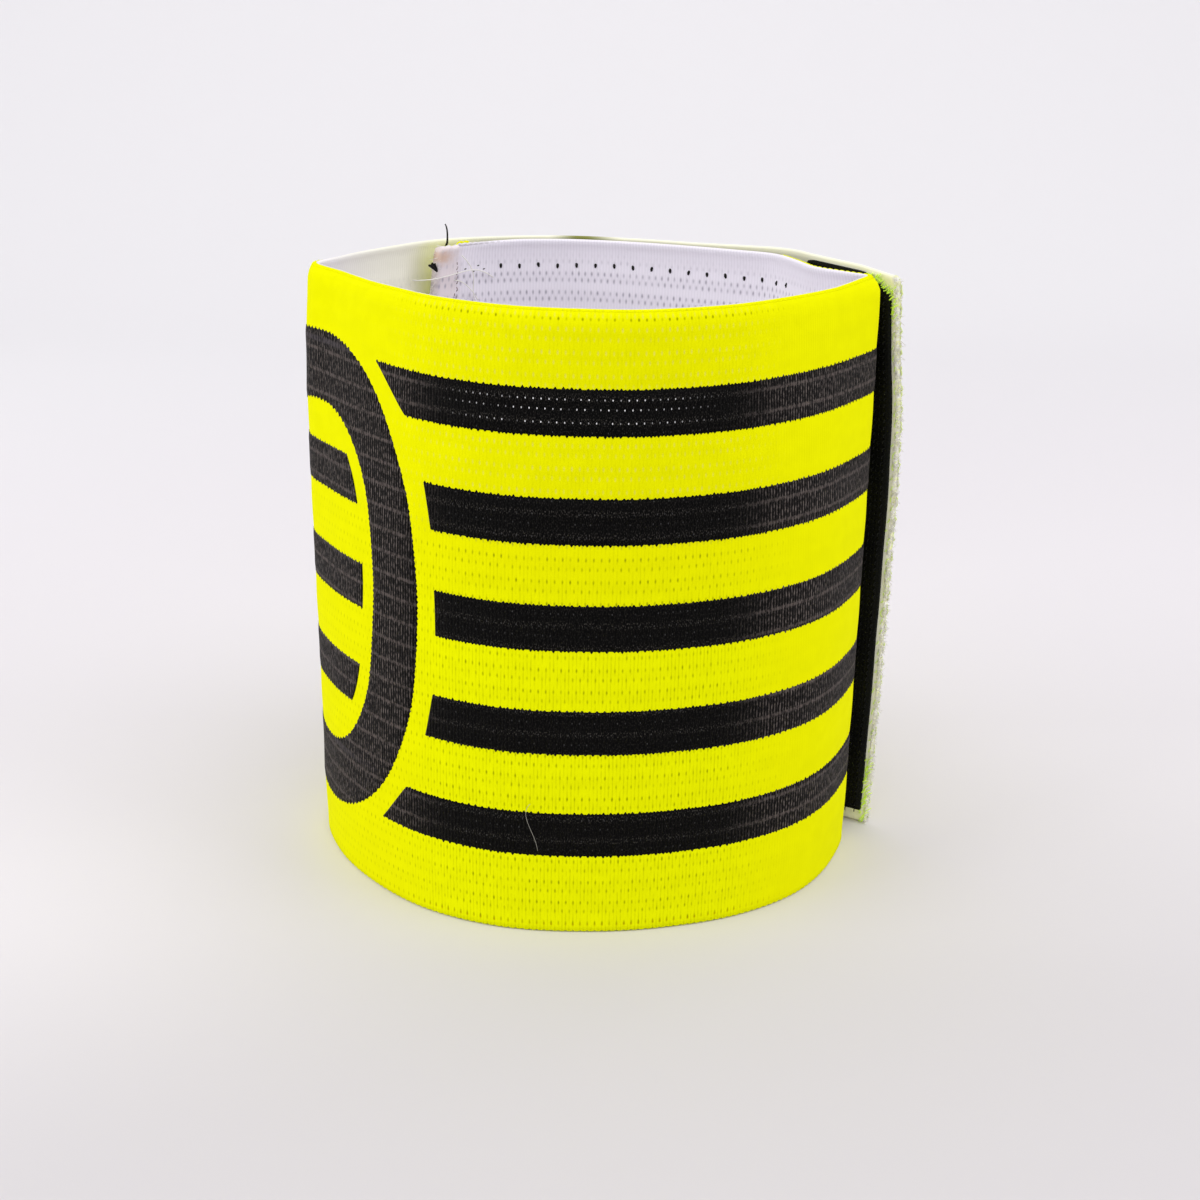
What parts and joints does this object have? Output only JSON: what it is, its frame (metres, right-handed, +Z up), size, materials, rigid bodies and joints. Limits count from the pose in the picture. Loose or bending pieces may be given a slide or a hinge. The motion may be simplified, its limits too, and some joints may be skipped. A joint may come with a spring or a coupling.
{
  "type": "captain armband",
  "caption": "Broad elastic armband with dark stripes, wrapped into an upright oval ring and closed at the back by hook and loop, with a free flap end.",
  "frame": {"origin": "middle of the standing armband's outline, on the surface that its lower edge rests on", "axes": "+Z up along the ring's axis, -Y towards the front of the ring, +X towards the free flap; the overlap is at the back, +Y"},
  "size_m": [0.0886, 0.0696, 0.09],
  "materials": {
    "striped_elastic": "woven elastic, matt",
    "hook_tape": "moulded hooks on woven tape, satin",
    "loop_tape": "brushed loops on woven tape, matt",
    "sewing_thread": "spun polyester thread, matt"
  },
  "bodies": {
    "root": {"elastic_band": "striped_elastic", "hook_strip": "hook_tape", "loop_strip": "loop_tape"}
  },
  "joints": []
}
